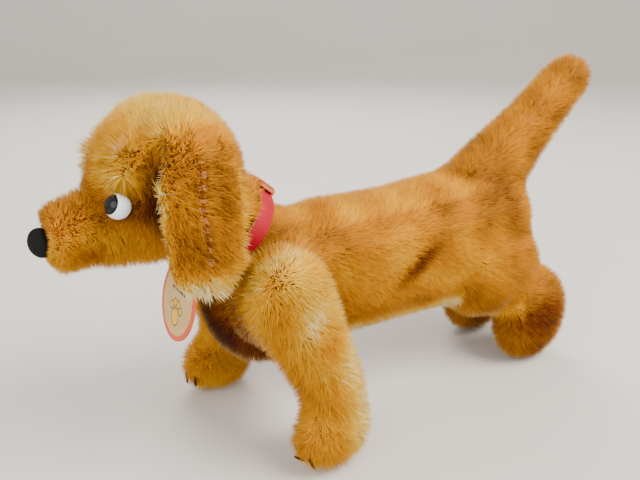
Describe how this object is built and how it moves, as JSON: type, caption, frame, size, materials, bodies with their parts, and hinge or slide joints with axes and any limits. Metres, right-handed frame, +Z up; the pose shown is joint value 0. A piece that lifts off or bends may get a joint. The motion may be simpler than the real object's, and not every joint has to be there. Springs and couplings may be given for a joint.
{
  "type": "plush toy dog",
  "caption": "Standing long-bodied plush toy dog with jointed neck and front legs, hanging ears, raised tail, strap collar and a round hanging tag.",
  "frame": {"origin": "on the ground, under the middle of the dog's overall box", "axes": "+Z up, -Y the way the dog faces, +X its left side"},
  "size_m": [0.0858, 0.2252, 0.1256],
  "materials": {
    "golden_mohair": "golden mohair pile, pale at the tips",
    "brown_mohair": "brown mohair pile",
    "pale_mohair": "pale straw mohair pile",
    "wood_wool": "packed wood wool",
    "fibreboard": "raw board",
    "steel_wire": "bright wire and stamped washers",
    "glass_eye": "glossy, black pupil on a milky ground",
    "black_thread": "close satin stitching",
    "red_leather": "smooth crimson, tan cut edges",
    "cotton_thread": "twisted cotton",
    "printed_card": null
  },
  "bodies": {
    "body": {"body_side_left": "golden_mohair", "body_side_right": "golden_mohair", "belly_panel": "pale_mohair", "body_stuffing": "wood_wool", "neck_body_disc": "fibreboard", "neck_body_washer": "steel_wire", "shoulder_left_body_disc": "fibreboard", "shoulder_left_body_washer": "steel_wire", "shoulder_right_body_disc": "fibreboard", "shoulder_right_body_washer": "steel_wire"},
    "head": {"head_side_left": "golden_mohair", "head_side_right": "golden_mohair", "head_gusset": "pale_mohair", "head_stuffing": "wood_wool", "neck_head_disc": "fibreboard", "neck_head_washer": "steel_wire", "neck_cotter_pin": "steel_wire", "eye_left": "glass_eye", "eye_right": "glass_eye", "eye_shank_left": "steel_wire", "eye_shank_right": "steel_wire", "nose_stitching": "black_thread"},
    "ear_left": {"ear_left_outer": "golden_mohair", "ear_left_lining": "brown_mohair"},
    "ear_right": {"ear_right_outer": "golden_mohair", "ear_right_lining": "brown_mohair"},
    "leg_left": {"leg_left_outer_panel": "golden_mohair", "leg_left_inner_panel": "brown_mohair", "leg_left_stuffing": "wood_wool", "shoulder_left_leg_disc": "fibreboard", "shoulder_left_leg_washer": "steel_wire", "shoulder_left_cotter_pin": "steel_wire", "claw_left_1": "black_thread", "claw_left_2": "black_thread", "claw_left_3": "black_thread"},
    "leg_right": {"leg_right_outer_panel": "golden_mohair", "leg_right_inner_panel": "brown_mohair", "leg_right_stuffing": "wood_wool", "shoulder_right_leg_disc": "fibreboard", "shoulder_right_leg_washer": "steel_wire", "shoulder_right_cotter_pin": "steel_wire", "claw_right_1": "black_thread", "claw_right_2": "black_thread", "claw_right_3": "black_thread"},
    "collar": {"collar_strap": "red_leather", "collar_keeper": "red_leather", "tag_thread": "cotton_thread"},
    "tag": {"tag_card": "printed_card"}
  },
  "joints": [
    {"name": "neck_turn", "type": "hinge", "parent": "body", "child": "head", "pos_m": [0, -0.05187, 0.0793], "axis": [0, -0.766, 0.6428], "range_deg": [-55, 55]},
    {"name": "ear_left_lift", "type": "hinge", "parent": "head", "child": "ear_left", "pos_m": [0.0188, -0.07237, 0.1162], "axis": [0, -1, 0], "range_deg": [0, 50]},
    {"name": "ear_right_lift", "type": "hinge", "parent": "head", "child": "ear_right", "pos_m": [-0.0188, -0.07237, 0.1162], "axis": [0, 1, 0], "range_deg": [0, 50]},
    {"name": "shoulder_left_turn", "type": "hinge", "parent": "body", "child": "leg_left", "pos_m": [0.0192, -0.04637, 0.0612], "axis": [1, 0, 0], "range_deg": [-70, 68]},
    {"name": "shoulder_right_turn", "type": "hinge", "parent": "body", "child": "leg_right", "pos_m": [-0.0192, -0.04637, 0.0612], "axis": [1, 0, 0], "range_deg": [-56, 82]},
    {"name": "collar_turn", "type": "hinge", "parent": "body", "child": "collar", "pos_m": [0, -0.05187, 0.0793], "axis": [0, -0.766, 0.6428], "range_deg": [-15, 15]},
    {"name": "tag_swing", "type": "hinge", "parent": "collar", "child": "tag", "pos_m": [0, -0.06937, 0.0658], "axis": [1, 0, 0], "range_deg": [-16, 20]}
  ]
}
